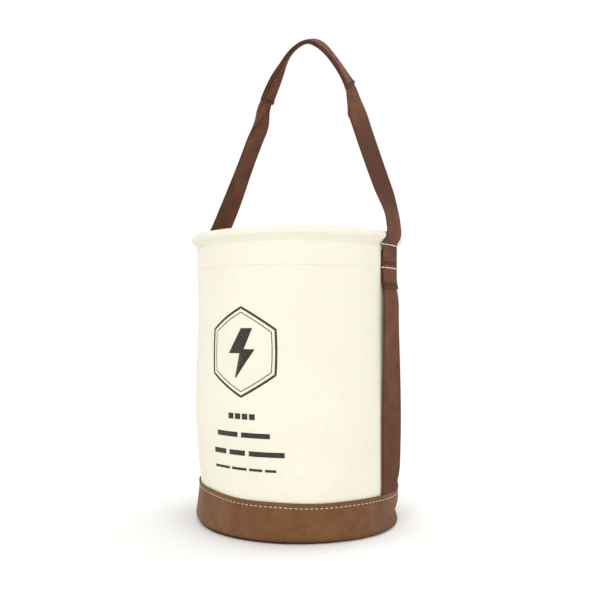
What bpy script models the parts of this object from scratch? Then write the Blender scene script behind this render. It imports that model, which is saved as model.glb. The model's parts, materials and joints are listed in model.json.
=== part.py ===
"""Canvas tool bucket with a leather bottom and a web handle.

Metres, +Z up. The origin is on the ground, under the middle of the base. The side webs stand at
+X (right, turned a little to the back) and -X (left). The wall's lapped seam is behind the left
web, and the leather's joint is at +Y. The handle swings about a line along X just above the rim, and its grip folds about a
second line along X, through the grip's two ends.
"""

import math

import bmesh
import bpy
from mathutils import Matrix, Vector
from mathutils.geometry import interpolate_bezier

MM = 0.001

# Driving dimensions, in millimetres
INSIDE_RADIUS = 152.4  # 12 inches across inside
RIM_HEIGHT = 432.0  # 17 inches tall, without the handle
WEB_WIDTH = 50.8  # 2 inch webbing
SWING_HEIGHT = 460.0  # the line that the handle's legs swing about
FOLD_HEIGHT = 653.0  # the line that the grip folds about

# Thicknesses
CANVAS = 1.4
WEB = 1.5
LEATHER = 2.2
BOARD = 2.5
TAPE = 1.2
THREAD = 0.7
THREAD_WIDTH = 1.2
GAP = 0.3  # between solids that touch on the real bucket

SEGMENTS = 48  # sides of every turned piece, with a side facing +X
SIDE_ANGLE = 2 * math.pi / SEGMENTS

# Wall, rim and hem
WALL_RADIUS = INSIDE_RADIUS + CANVAS
HOOP_RADIUS = 156.0
HOOP_TUBE = 4.7  # the hoop's tube, outside and bore
HOOP_BORE = 2.9
BEAD_BORE = HOOP_TUBE + GAP
BEAD = BEAD_BORE + 1.1
BEAD_HEIGHT = RIM_HEIGHT - BEAD
HOOP_SIDES = 8
HOOP_BUTT_GAP = 2.0
PLUG_LENGTH = 50.0
NECK_RADIUS = INSIDE_RADIUS + 0.9
NECK_HEIGHT = RIM_HEIGHT - 17.5
NECK_START = RIM_HEIGHT - 28.0
RIM_STITCH_HEIGHT = NECK_HEIGHT - 1.2
SEAM_STITCH_FOOT = 90.0  # the wall's seam shows where the web over it hangs away from the wall
SEAM_STITCH_TOP = 310.0
HEM_STITCH_HEIGHT = RIM_HEIGHT - 52.0
HEM_END = RIM_HEIGHT - 55.0
FACING_RADIUS = INSIDE_RADIUS - GAP - CANVAS

# Base, from the ground up: leather base, the band's turned-under edge, board, canvas floor
BASE_RADIUS = 150.0
BASE_GROOVE_RADIUS = 144.0
BAND_FLANGE_BOTTOM = LEATHER + GAP
BAND_TOP = 57.0
BAND_CORNER = 9.0
BAND_INNER_RADIUS = WALL_RADIUS + GAP
BAND_FLANGE_RADIUS = 138.0
BAND_STITCH_HEIGHT = BAND_TOP - 6.0
CORNER_HEIGHT = BAND_FLANGE_BOTTOM + BAND_CORNER
BOARD_RADIUS = 147.0
BOARD_BOTTOM = BAND_FLANGE_BOTTOM + LEATHER + GAP
FLOOR_RADIUS = 151.5
FLOOR_BOTTOM = BOARD_BOTTOM + BOARD + GAP
FLOOR_TOP = FLOOR_BOTTOM + CANVAS
WALL_FOOT = CORNER_HEIGHT
BINDING_RISE = 13.0

# Webs on the wall: the side web is on the canvas, and the handle's tab is on the side web
SIDE_WEB_RADIUS = WALL_RADIUS + GAP + WEB / 2
TAB_RADIUS = SIDE_WEB_RADIUS + WEB + GAP
WEB_HALF_ANGLE = math.asin(WEB_WIDTH / 2 / WALL_RADIUS)
WEB_ANGLES = {"right": SIDE_ANGLE / 2, "left": math.pi}  # where each web's middle is, round the wall
TAB_FOOT = 351.0
TAB_TOP = RIM_HEIGHT + 2.5
SIDE_WEB_PATH = [
    (SIDE_WEB_RADIUS, 18), (SIDE_WEB_RADIUS, 60), (157, 84), (160, 140), (161, 200), (159.5, 270),
    (SIDE_WEB_RADIUS, 335), (SIDE_WEB_RADIUS, 404),
]
TAB_PATH = [
    (TAB_RADIUS, TAB_FOOT), (TAB_RADIUS, 404), (155, 411), (155.4, 415), (158.6, 418.5),
    (161.6, 421.5), (163.7, 425.5), (164.3, 430), (164.3, TAB_TOP),
]
LOWER_TACK_HEIGHT = TAB_FOOT + 4
UPPER_TACK_HEIGHT = 387.0
TACK_HALF_ANGLE = math.radians(8.2)

# The handle's centre line in the XZ plane, each leg from the rim up, and the grip right to left
RIGHT_LEG_PATH = [(164, 434), (164, 441), (158.7, 467), (132.4, 539), (107.8, 607), (94, FOLD_HEIGHT)]
LEFT_LEG_PATH = [(-164, 434), (-158.5, 441), (-130.1, 493), (-92.3, 572), (-61, FOLD_HEIGHT)]
GRIP_PATH = [
    (94, FOLD_HEIGHT), (66, 698), (38, 728), (14, 735), (-13, 724), (-35.5, 697), (-61, FOLD_HEIGHT),
]
LEG_FOLD_START = 585.0  # from here up, the leg's edges fold in to meet the grip
CORE_WIDTH = 22.0  # the grip: the handle's web folded in half, in a second web wrapped round it
CORE = 2 * WEB
WRAP_WIDTH = 28.0
CORE_SLACK = 0.5  # between the core and the wrap
WRAP_HALF = CORE / 2 + CORE_SLACK + TAPE
WRAP_START = 0.04  # the share of the grip's path before the wrap begins, at each end
GRIP_TACK_START = 0.06
TACK_SHARE = 0.01
EDGE_STITCH_START = 0.1
EDGE_STITCH_PIECES = 30
EDGE_MARGIN = 2.5  # from the wrap's edges to its stitching
GRIP_PIECES = 36
GRIP_ROLL = math.radians(27)  # how far the grip's web leans over at its top

COLOURS = {
    "canvas": ((0.86, 0.82, 0.68, 1), 0.9),
    "webbing": ((0.16, 0.075, 0.05, 1), 0.7),
    "leather": ((0.22, 0.11, 0.05, 1), 0.85),
    "white_thread": ((0.8, 0.74, 0.62, 1), 0.7),
    "dark_thread": ((0.05, 0.025, 0.018, 1), 0.7),
    "hoop_plastic": ((0.05, 0.05, 0.05, 1), 0.5),
    "board": ((0.3, 0.24, 0.17, 1), 0.8),
    "binding": ((0.7, 0.66, 0.55, 1), 0.85),
}


def clear_scene():
    for found in list(bpy.data.objects):
        bpy.data.objects.remove(found)


def material(name):
    made = bpy.data.materials.get(name)
    if made is None:
        colour, roughness = COLOURS[name]
        made = bpy.data.materials.new(name)
        made.use_nodes = True
        made.diffuse_color = colour
        shader = made.node_tree.nodes["Principled BSDF"]
        shader.inputs["Base Color"].default_value = colour
        shader.inputs["Roughness"].default_value = roughness
        shader.inputs["Metallic"].default_value = 0.0
    return made


def axis_empty(name, height, parent=None):
    """An empty on a joint's axis, which that joint's pieces are parented to."""
    made = bpy.data.objects.new(name, None)
    bpy.context.collection.objects.link(made)
    made.parent = parent
    made.location.z = height * MM - (parent.matrix_world.translation.z if parent else 0)
    bpy.context.view_layer.update()
    return made


def finished(name, mesh, material_name, parent=None):
    """Makes an object from a bmesh in millimetres, with its origin on its parent's."""
    bmesh.ops.recalc_face_normals(mesh, faces=mesh.faces)
    bmesh.ops.transform(mesh, matrix=Matrix.Scale(MM, 4), verts=mesh.verts)
    if parent:
        bmesh.ops.translate(mesh, vec=-parent.matrix_world.translation, verts=mesh.verts)
    data = bpy.data.meshes.new(name)
    mesh.to_mesh(data)
    mesh.free()
    data.shade_smooth()
    data.set_sharp_from_angle(angle=math.radians(35))
    data.materials.append(material(material_name))
    made = bpy.data.objects.new(name, data)
    bpy.context.collection.objects.link(made)
    made.parent = parent
    return made


def turned(name, profile, material_name, swell=None):
    """Spins a closed profile of (radius, height) about Z; swell(angle, height) adds to the radius."""
    mesh = bmesh.new()
    start = Matrix.Rotation(SIDE_ANGLE / 2, 3, "Z")
    corners = [mesh.verts.new(start @ Vector((radius, 0, height))) for radius, height in profile]
    edges = [
        mesh.edges.new((one, two))
        for one, two in zip(corners, corners[1:] + corners[:1])
        if one.co.x or two.co.x
    ]
    bmesh.ops.spin(
        mesh, geom=edges, cent=(0, 0, 0), axis=(0, 0, 1), angle=2 * math.pi, steps=SEGMENTS,
        use_merge=True,
    )
    bmesh.ops.remove_doubles(mesh, verts=mesh.verts, dist=0.001)
    for vert in mesh.verts if swell else ():
        radius = vert.co.xy.length
        vert.co.xy *= 1 + swell(math.atan2(vert.co.y, vert.co.x), vert.co.z) / radius
    return finished(name, mesh, material_name)


def swept(name, sections, material_name, parent=None, trims=()):
    """Joins sections into one closed strip. Each section is two rows of points, one for each face.

    Each trim is (x, side): what lies beyond the plane at x, on side +1 or -1, is cut off.
    """
    mesh = bmesh.new()
    loops = [[mesh.verts.new(point) for point in near + far[::-1]] for near, far in sections]
    count = len(loops[0])
    for first, second in zip(loops, loops[1:]):
        for i in range(count):
            mesh.faces.new((first[i - 1], first[i], second[i], second[i - 1]))
    for loop in (loops[0], loops[-1]):
        for i in range(count // 2 - 1):
            mesh.faces.new((loop[i], loop[i + 1], loop[count - 2 - i], loop[count - 1 - i]))
    for x, side in trims:
        geometry = mesh.verts[:] + mesh.edges[:] + mesh.faces[:]
        bmesh.ops.bisect_plane(
            mesh, geom=geometry, plane_co=(x, 0, 0), plane_no=(side, 0, 0), clear_outer=True
        )
        bmesh.ops.holes_fill(mesh, edges=[edge for edge in mesh.edges if edge.is_boundary])
    return finished(name, mesh, material_name, parent)


def smooth_path(points, step=9.0):
    """Points about one step apart on a smooth curve through the given (x, z) points."""
    points = [Vector((x, 0, z)) for x, z in points]
    ends = [2 * points[0] - points[1], *points, 2 * points[-1] - points[-2]]
    path = []
    for before, start, end, after in zip(ends, ends[1:], ends[2:], ends[3:]):
        reach = (end - start).length / 3
        leaving = start + (end - before).normalized() * reach
        arriving = end - (after - start).normalized() * reach
        pieces = max(1, round(3 * reach / step))
        path += interpolate_bezier(start, leaving, arriving, end, pieces + 1)[:-1]
    return path + [points[-1]]


def x_at(path, height):
    """The x at which a path passes a height."""
    for one, two in zip(path, path[1:]):
        if min(one.z, two.z) <= height <= max(one.z, two.z) and one.z != two.z:
            return one.x + (two.x - one.x) * (height - one.z) / (two.z - one.z)
    raise ValueError("the path doesn't reach that height")


def along(path):
    """(point, unit normal in the XZ plane, share of the path's length) for each point of a path."""
    lengths = [0.0]
    for one, two in zip(path, path[1:]):
        lengths.append(lengths[-1] + (two - one).length)
    for i, point in enumerate(path):
        run = (path[min(i + 1, len(path) - 1)] - path[max(i - 1, 0)]).normalized()
        yield point, Vector((run.z, 0, -run.x)), lengths[i] / lengths[-1]


def on_side(radius, angle):
    """(x, y) at an angle on a turned piece's flat-sided outline, whose corners are at that radius."""
    within = (angle + SIDE_ANGLE / 2) % SIDE_ANGLE - SIDE_ANGLE / 2
    reach = radius * math.cos(SIDE_ANGLE / 2) / math.cos(within)
    return reach * math.cos(angle), reach * math.sin(angle)


def corner_angles(start, end):
    """The angles start and end, with every corner of the turned pieces that lies between them."""
    first, last = (round(angle / SIDE_ANGLE) for angle in (start, end))
    corners = [(i + 0.5) * SIDE_ANGLE for i in range(first - 1, last + 1)]
    return [start, *(corner for corner in corners if start < corner < end), end]


def wall_strip(name, path, middle, half_angle, thickness, material_name):
    """A strip against the wall about a middle angle, along a path of (radius, height)."""
    angles = corner_angles(middle - half_angle, middle + half_angle)
    sections = []
    for radius, height in path:
        faces = (radius + thickness / 2, radius - thickness / 2)
        rows = [[Vector((*on_side(face, angle), height)) for angle in angles] for face in faces]
        sections.append(rows)
    return swept(name, sections, material_name)


def over_webs(angle):
    """1 at the corners of a ring that lie over a web or next to one, and 0 at the others."""
    gaps = [abs((angle - web + math.pi) % math.tau - math.pi) for web in WEB_ANGLES.values()]
    return float(min(gaps) < WEB_HALF_ANGLE + SIDE_ANGLE)


def canvas_wall():
    """The wall, rolled outward round the hoop and hemmed down inside, with the hem's slit open."""
    turns = [math.radians(a) for a in range(-60, 181, 30)]
    bead = [(HOOP_RADIUS + BEAD * math.cos(a), BEAD_HEIGHT + BEAD * math.sin(a)) for a in turns]
    bore = [
        (HOOP_RADIUS + BEAD_BORE * math.cos(a), BEAD_HEIGHT + BEAD_BORE * math.sin(a))
        for a in (math.tau * i / HOOP_SIDES for i in range(4, -3, -1))
    ]
    slit_top = BEAD_HEIGHT - BEAD_BORE * 0.6
    profile = [
        (WALL_RADIUS, WALL_FOOT), (WALL_RADIUS, NECK_START), (NECK_RADIUS, NECK_HEIGHT),
        *bead,
        (FACING_RADIUS, NECK_HEIGHT), (FACING_RADIUS, HEM_END),
        (FACING_RADIUS + CANVAS, HEM_END), (FACING_RADIUS + CANVAS, slit_top),
        *bore,
        (INSIDE_RADIUS, slit_top - 1), (INSIDE_RADIUS, WALL_FOOT),
    ]
    return turned("canvas_wall", profile, "canvas")


def hoop_section(radius, angle):
    """An eight-sided section of a rod or bore of that radius, at an angle round the rim."""
    points = []
    for i in range(HOOP_SIDES):
        turn = math.tau * i / HOOP_SIDES
        x, y = on_side(HOOP_RADIUS + radius * math.cos(turn), angle)
        points.append(Vector((x, y, BEAD_HEIGHT + radius * math.sin(turn))))
    return points


def rim_hoop():
    """The plastic tube in the rim, with its two ends butted at the back."""
    mesh = bmesh.new()
    half_gap = HOOP_BUTT_GAP / 2 / HOOP_RADIUS
    angles = corner_angles(math.pi / 2 + half_gap, math.pi / 2 + math.tau - half_gap)
    rings = [
        [[mesh.verts.new(point) for point in hoop_section(radius, angle)] for angle in angles]
        for radius in (HOOP_TUBE, HOOP_BORE)
    ]
    for rows in rings:
        for first, second in zip(rows, rows[1:]):
            for i in range(HOOP_SIDES):
                mesh.faces.new((first[i - 1], first[i], second[i], second[i - 1]))
    for end in (0, -1):
        outer, bore = rings[0][end], rings[1][end]
        for i in range(HOOP_SIDES):
            mesh.faces.new((outer[i - 1], outer[i], bore[i], bore[i - 1]))
    return finished("rim_hoop", mesh, "hoop_plastic")


def hoop_plug():
    """The dowel in both ends of the hoop's tube."""
    half = PLUG_LENGTH / 2 / HOOP_RADIUS
    sections = []
    for angle in corner_angles(math.pi / 2 - half, math.pi / 2 + half):
        points = hoop_section(HOOP_BORE - GAP, angle)
        sections.append((points[:4], points[:3:-1]))
    return swept("hoop_plug", sections, "hoop_plastic")


def leather_band():
    """The leather round the foot of the wall, turned under along a rounded corner."""
    outer = BAND_INNER_RADIUS + LEATHER
    centre = outer - BAND_CORNER
    corner = [
        (centre + reach * math.cos(turn), CORNER_HEIGHT - reach * math.sin(turn))
        for reach, turns in ((BAND_CORNER, (0, 30, 60, 90)), (BAND_CORNER - LEATHER, (90, 60, 30, 0)))
        for turn in map(math.radians, turns)
    ]
    flange = [
        (BAND_FLANGE_RADIUS, BAND_FLANGE_BOTTOM), (BAND_FLANGE_RADIUS, BAND_FLANGE_BOTTOM + LEATHER)
    ]
    profile = [(outer, BAND_TOP), *corner[:4], *flange, *corner[4:], (BAND_INNER_RADIUS, BAND_TOP)]
    return turned("leather_band", profile, "leather", band_swell)


def band_swell(angle, height):
    """How far the leather stands out over the feet of the side webs."""
    rise = (height - BAND_FLANGE_BOTTOM - LEATHER) / (BAND_CORNER - LEATHER)
    return (WEB + GAP) * over_webs(angle) * min(1.0, max(0.0, rise))


def tab_swell(angle, _):
    """How far a row of stitching stands out where it crosses a side web and a handle tab."""
    return 2 * (WEB + GAP) * over_webs(angle)


def leather_base():
    """The leather disc under the bucket, with a groove that the thread lies in."""
    groove = [
        (BASE_GROOVE_RADIUS - 1, 0), (BASE_GROOVE_RADIUS - 1, 1.2),
        (BASE_GROOVE_RADIUS + 1, 1.2), (BASE_GROOVE_RADIUS + 1, 0),
    ]
    profile = [(0, 0), *groove, (BASE_RADIUS, 0), (BASE_RADIUS, LEATHER), (0, LEATHER)]
    return turned("leather_base", profile, "leather")


def round_plate(name, radius, bottom, top, material_name):
    return turned(name, [(0, bottom), (radius, bottom), (radius, top), (0, top)], material_name)


def floor_binding():
    """The tape sewn over the corner of the wall and the floor, inside."""
    outer = INSIDE_RADIUS - GAP
    bottom = FLOOR_TOP + GAP
    profile = [
        (outer, bottom), (outer, bottom + BINDING_RISE), (outer - TAPE, bottom + BINDING_RISE),
        (outer - TAPE, bottom + TAPE), (outer - BINDING_RISE, bottom + TAPE),
        (outer - BINDING_RISE, bottom),
    ]
    return turned("floor_binding", profile, "binding")


def stitch_ring(name, surface_radius, height, swell):
    """A row of stitching round the bucket, as one flat run of thread on a surface."""
    low, high = height - THREAD_WIDTH / 2, height + THREAD_WIDTH / 2
    near, far = surface_radius + GAP, surface_radius + GAP + THREAD
    return turned(name, [(near, low), (far, low), (far, high), (near, high)], "white_thread", swell)


def base_stitch():
    profile = [
        (BASE_GROOVE_RADIUS + across * THREAD_WIDTH / 2, height)
        for across, height in ((-1, 0.2), (1, 0.2), (1, 0.9), (-1, 0.9))
    ]
    return turned("base_stitch", profile, "white_thread")


def upright_stitch(name, surface_radius, angle, low, high):
    """A vertical row of stitching on the wall or the band, at an angle round the bucket."""
    across = THREAD_WIDTH / 2 / surface_radius
    sections = []
    for height in (low, high):
        rows = []
        for radius in (surface_radius + GAP, surface_radius + GAP + THREAD):
            turns = (angle - across, angle + across)
            rows.append([Vector((*on_side(radius, turn), height)) for turn in turns])
        sections.append(rows)
    return swept(name, sections, "white_thread")


def leg_width(height):
    """The web's width at a height: rounded about the swing line below it, folded in at the top."""
    if height < SWING_HEIGHT:
        return 2 * math.sqrt((WEB_WIDTH / 2) ** 2 - (SWING_HEIGHT - height) ** 2)
    share = max(0.0, (height - LEG_FOLD_START) / (FOLD_HEIGHT - LEG_FOLD_START))
    return WEB_WIDTH + (CORE_WIDTH - WEB_WIDTH) * share


def handle_leg(name, path, trim, parent):
    """One side of the handle's web, from the rim to the grip."""
    path = smooth_path(path)
    turns = [math.radians(a) for a in (12, 30, 50, 70)]
    heights = [SWING_HEIGHT - WEB_WIDTH / 2 * math.cos(turn) for turn in turns]
    heights += [SWING_HEIGHT + (FOLD_HEIGHT - SWING_HEIGHT) * i / 12 for i in range(13)]
    line = [Vector((x_at(path, height), 0, height)) for height in heights]
    sections = []
    for point, normal, _ in along(line):
        width = leg_width(point.z)
        ply = WEB if point.z < LEG_FOLD_START else CORE
        across = [Vector((0, share * width, 0)) for share in (-0.5, 0.5)]
        rows = [[point + normal * face * ply / 2 + offset for offset in across] for face in (1, -1)]
        sections.append(rows)
    return swept(name, sections, "webbing", parent, [trim])


def grip_sections(outline, start=0.0, end=1.0, pieces=GRIP_PIECES):
    """Sections along the grip, each the outline's two rows of (across, out), its back edge raised.

    start and end are shares of the grip's length, counted from its right end.
    """
    path = list(along(smooth_path(GRIP_PATH, 2.0)))
    sections = []
    for i in range(pieces + 1):
        at = start + (end - start) * i / pieces
        point, normal, share = min(path, key=lambda found: abs(found[2] - at))
        lean = GRIP_ROLL * math.sin(math.pi * share)
        out = Vector((0, math.sin(lean), 0)) - normal * math.cos(lean)
        across = Vector((0, math.cos(lean), 0)) + normal * math.sin(lean)
        sections.append([[point + across * a + out * b for a, b in row] for row in outline])
    return sections


def grip_core(parent):
    half, ply = CORE_WIDTH / 2, CORE / 2
    outline = [[(-half, ply), (half, ply)], [(-half, -ply), (half, -ply)]]
    trims = [(RIGHT_LEG_PATH[-1][0] - GAP / 2, 1), (LEFT_LEG_PATH[-1][0] + GAP / 2, -1)]
    return swept("grip_core", grip_sections(outline), "webbing", parent, trims)


def grip_wrap(parent):
    """The second web, folded over the core with its two free edges together at the front."""
    half, fold = WRAP_WIDTH / 2, CORE_WIDTH / 2 + CORE_SLACK
    inner = WRAP_HALF - TAPE
    outline = [
        [(-half, WRAP_HALF), (half, WRAP_HALF), (half, -WRAP_HALF), (-half, -WRAP_HALF)],
        [(-half, inner), (fold, inner), (fold, -inner), (-half, -inner)],
    ]
    return swept("grip_wrap", grip_sections(outline, WRAP_START, 1 - WRAP_START), "webbing", parent)


def grip_thread(name, low, high, start, end, pieces, parent):
    """A run of thread on the wrap's outer face, from low to high across it."""
    near = WRAP_HALF + GAP
    outline = [[(low, near + THREAD), (high, near + THREAD)], [(low, near), (high, near)]]
    return swept(name, grip_sections(outline, start, end, pieces), "dark_thread", parent)


def main():
    clear_scene()
    canvas_wall()
    rim_hoop()
    hoop_plug()
    leather_band()
    leather_base()
    round_plate("floor_board", BOARD_RADIUS, BOARD_BOTTOM, BOARD_BOTTOM + BOARD, "board")
    round_plate("canvas_floor", FLOOR_RADIUS, FLOOR_BOTTOM, FLOOR_TOP, "canvas")
    floor_binding()
    stitch_ring("rim_stitch", NECK_RADIUS + 0.1, RIM_STITCH_HEIGHT, tab_swell)
    stitch_ring("hem_stitch", WALL_RADIUS, HEM_STITCH_HEIGHT, tab_swell)
    stitch_ring("band_stitch", BAND_INNER_RADIUS + LEATHER, BAND_STITCH_HEIGHT, band_swell)
    base_stitch()
    upright_stitch("wall_seam_stitch", WALL_RADIUS, math.pi, SEAM_STITCH_FOOT, SEAM_STITCH_TOP)
    band_radius = BAND_INNER_RADIUS + LEATHER
    upright_stitch("band_joint_stitch", band_radius, math.pi / 2, CORNER_HEIGHT, BAND_STITCH_HEIGHT - 2)
    for hand, angle in WEB_ANGLES.items():
        wall_strip(f"{hand}_side_web", SIDE_WEB_PATH, angle, WEB_HALF_ANGLE, WEB, "webbing")
        wall_strip(f"{hand}_handle_tab", TAB_PATH, angle, WEB_HALF_ANGLE, WEB, "webbing")
        for level, height in (("upper", UPPER_TACK_HEIGHT), ("lower", LOWER_TACK_HEIGHT)):
            radius = TAB_RADIUS + WEB / 2 + GAP + THREAD / 2
            path = [(radius, height - THREAD_WIDTH / 2), (radius, height + THREAD_WIDTH / 2)]
            wall_strip(f"{hand}_{level}_tack", path, angle, TACK_HALF_ANGLE, THREAD, "dark_thread")
    swing = axis_empty("swing_axis", SWING_HEIGHT)
    fold = axis_empty("fold_axis", FOLD_HEIGHT, swing)
    handle_leg("right_handle_leg", RIGHT_LEG_PATH, (RIGHT_LEG_PATH[-1][0] + GAP / 2, -1), swing)
    handle_leg("left_handle_leg", LEFT_LEG_PATH, (LEFT_LEG_PATH[-1][0] - GAP / 2, 1), swing)
    grip_core(fold)
    grip_wrap(fold)
    tack = WRAP_WIDTH / 2 - EDGE_MARGIN
    for hand, start in (("right", GRIP_TACK_START), ("left", 1 - GRIP_TACK_START - TACK_SHARE)):
        grip_thread(f"grip_{hand}_tack", -tack, tack, start, start + TACK_SHARE, 1, fold)
    grip_thread(
        "grip_edge_stitch", -tack, THREAD_WIDTH - tack, EDGE_STITCH_START, 1 - EDGE_STITCH_START,
        EDGE_STITCH_PIECES, fold,
    )


main()
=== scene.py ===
"""The looks of the canvas tool bucket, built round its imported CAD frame.

Lengths are in millimetres until a mesh is made. Angles are measured about +Z from +X, so the right
web is near 0 degrees, the left web at 180 and the back of the bucket at 90. Every cloth, web and
leather piece is a closed sheet of its real thickness, modelled about a grid of points.
"""

import json
import math

import bmesh
import bpy
import numpy as np
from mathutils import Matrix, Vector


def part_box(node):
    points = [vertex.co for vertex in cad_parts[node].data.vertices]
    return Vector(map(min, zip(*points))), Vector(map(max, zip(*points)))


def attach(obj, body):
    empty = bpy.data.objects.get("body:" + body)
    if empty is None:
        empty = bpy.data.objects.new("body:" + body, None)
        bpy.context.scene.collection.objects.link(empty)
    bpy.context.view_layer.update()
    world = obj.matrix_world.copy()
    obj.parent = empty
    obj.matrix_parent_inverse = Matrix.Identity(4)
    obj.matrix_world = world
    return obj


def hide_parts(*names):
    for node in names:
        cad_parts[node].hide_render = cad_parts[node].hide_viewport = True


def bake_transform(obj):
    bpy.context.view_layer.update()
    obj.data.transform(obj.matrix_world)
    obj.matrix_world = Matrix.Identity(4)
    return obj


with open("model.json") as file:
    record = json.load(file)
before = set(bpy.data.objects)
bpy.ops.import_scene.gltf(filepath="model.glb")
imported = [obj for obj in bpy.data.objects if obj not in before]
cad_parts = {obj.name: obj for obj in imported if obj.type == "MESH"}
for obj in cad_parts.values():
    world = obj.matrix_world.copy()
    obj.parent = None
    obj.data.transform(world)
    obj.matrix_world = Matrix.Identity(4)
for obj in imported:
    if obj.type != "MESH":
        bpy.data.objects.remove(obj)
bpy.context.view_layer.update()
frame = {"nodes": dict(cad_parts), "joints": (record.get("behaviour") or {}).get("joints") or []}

MM = 0.001
TAU = math.tau


def span(node, axis=2):
    """(lowest, highest) of a CAD node along an axis."""
    low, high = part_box(node)
    return low[axis] / MM, high[axis] / MM


def middle(node):
    return sum(span(node)) / 2


# Thicknesses and widths
CANVAS = 1.4
WEB = 1.5
WEB_WIDTH = span("right_handle_leg", 1)[1] - span("right_handle_leg", 1)[0]
LEATHER = 2.2
TAPE = 1.2
CONTACT = 0.1  # between layers that are sewn together
THREAD_PITCH = 7.0
SQUARE_END = math.radians(82)  # edges sharper than this are left sharp where a web is cut

# The wall, from the frame
WALL_FOOT, RIM_TOP = span("canvas_wall")
WALL_OUTER = 153.8
WALL = WALL_OUTER - CANVAS / 2
LIP = 5.5  # the rolled rim, about the hoop's centre
LIP_RADIUS = 156.0
LIP_HEIGHT = RIM_TOP - LIP - CANVAS / 2
NECK_START = RIM_TOP - 28
NECK_HEIGHT = RIM_TOP - 18
FACING = WALL - CANVAS - 0.4
HEM_END = RIM_TOP - 55
RIM_STITCH = middle("rim_stitch")
HEM_STITCH = middle("hem_stitch")

# The base, from the frame
BAND_TOP = span("leather_band")[1]
BAND_FOOT = span("leather_band")[0] + LEATHER / 2
BAND = WALL_OUTER + CONTACT + LEATHER / 2
BAND_CORNER = 7.9
BAND_FLANGE = 138.0
BASE_RADIUS = 150.0
BASE_GROOVE = 144.0
FLOOR_TOP = span("canvas_floor")[1]
FLOOR_RADIUS = 150.4
BINDING_RISE = 13.0

# The handle, from the frame: where it swings, where its grip folds, and its tab on the wall
SWING_HEIGHT, FOLD_HEIGHT = (joint["pos_m"][2] / MM for joint in frame["joints"])
TAB_FOOT = span("right_handle_tab")[0]
SPLIT_HEIGHT = 560.0  # each handle web is one piece below this and one above
SIDE_WEB_LINE = [  # (distance out, height) up the web's middle
    (154.7, 18), (154.7, 44), (155.8, 56), (157.1, 70), (157.8, 90), (158.2, 130), (158.6, 190),
    (158.8, 250), (158.4, 300), (158.8, 331), (157.8, 346), (155.2, 360), (154.7, 370), (154.7, 404),
]
TAB_LINE = [
    (159.3, TAB_FOOT), (157.7, 356), (156.5, 366), (156.4, 374), (156.4, 398), (156.6, 407),
    (156.4, 413), (158.0, 418.2), (160.8, 422.5), (162.6, 427),
]
RIGHT_LEG = [(163, 434), (162, 441), (156.6, 467), (131.6, 539), (107.4, 607), (94, FOLD_HEIGHT)]
LEFT_LEG = [
    (-164, 434), (-158.5, 441), (-130.1, 493), (-91.6, 572), (-67.4, 622), (-57.5, FOLD_HEIGHT),
]
TAB_HUG = 0.6  # how closely the tab follows the wall's curve
RIGHT_WEB_TURN = math.radians(2.5)  # the right web is a little behind the bucket's middle
WEB_ANGLES = {"right": RIGHT_WEB_TURN, "left": math.pi}
FOLD_SPANS = {"right": (588, 658), "left": (588, 664)}  # the heights where each web folds in half
FOLD_BEND = 0.85  # the folded web's bend, as the radius to the middle of its thickness
GRIP = [(66, 698), (38, 728), (14, 735), (-12.5, 724), (-33, 697)]  # its middle, as (x, height)
GRIP_LEAN = [  # how far the grip leans, in degrees, at shares of its length from the right
    (0, 8), (0.1, 2), (0.2, 1), (0.3, 5), (0.4, 15), (0.5, 24), (0.57, 31), (0.65, 32), (0.72, 26),
    (0.79, 13), (0.87, 2), (1, -4),
]
GRIP_WIDTH = 28.0
GRIP_LENGTH = 233.0  # along its curve
GRIP_HALF = 2.6  # from the grip's middle to the middle of the wrap's cloth

# The printed badge, as seen from the front
PRINT_ANGLE = -88.0
PRINT_HEIGHT = 260.5


# Small tools for shapes

def ease(value, low, high):
    """0 below low, 1 above high, and smooth in between."""
    share = np.clip((value - low) / (high - low), 0, 1)
    return share * share * (3 - 2 * share)


def hill(value, centre, width):
    return np.exp(-(((value - centre) / width) ** 2))


def hill_at(angle, centre, width):
    """A hill round the bucket, its centre and width in degrees."""
    away = (angle - math.radians(centre) + math.pi) % TAU - math.pi
    return np.exp(-((away / math.radians(width)) ** 2))


def ripple(angle, height, seed, turns=(2, 3, 5, 7), wave=140.0):
    """Soft, uneven waves of about one millimetre round the bucket and up it."""
    random = np.random.default_rng(seed)
    total = 0
    for count in turns:
        phase, drift, lean = random.uniform(0, TAU, 3)
        total = total + np.sin(count * angle + phase + 0.6 * np.sin(height / wave + lean)) * np.cos(
            height / wave * (1 + 0.1 * count) + drift
        )
    return total / len(turns)


def smooth_curve(points, step=3.0):
    """Points about one step apart on a smooth curve through the given points."""
    points = np.array(points, float)
    ends = np.vstack([2 * points[0] - points[1], points, 2 * points[-1] - points[-2]])
    path = []
    for before, start, end, after in zip(ends, ends[1:], ends[2:], ends[3:]):
        count = max(2, round(np.linalg.norm(end - start) / step))
        for t in np.arange(count) / count:
            path.append(
                start + 0.5 * t * (end - before)
                + t * t * (before - 2.5 * start + 2 * end - 0.5 * after)
                + t * t * t * (1.5 * (start - end) + 0.5 * (after - before))
            )
    return np.array([*path, points[-1]])


def lengths_along(path):
    steps = np.linalg.norm(np.diff(path, axis=0), axis=1)
    return np.append(0, np.cumsum(steps))


def resampled(path, step):
    """The same path with evenly spaced points, about one step apart."""
    reached = lengths_along(path)
    wanted = np.linspace(0, reached[-1], max(2, round(reached[-1] / step)) + 1)
    return np.stack([np.interp(wanted, reached, column) for column in path.T], axis=1)


def around(count):
    """Evenly spaced angles round the bucket."""
    return np.arange(count) * TAU / count


def outward(angle):
    return np.array([math.cos(angle), math.sin(angle), 0])


def polar(radius, angle, height):
    x, y = radius * np.cos(angle), radius * np.sin(angle)
    return np.stack(np.broadcast_arrays(x, y, height), axis=-1)


# Meshes

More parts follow.
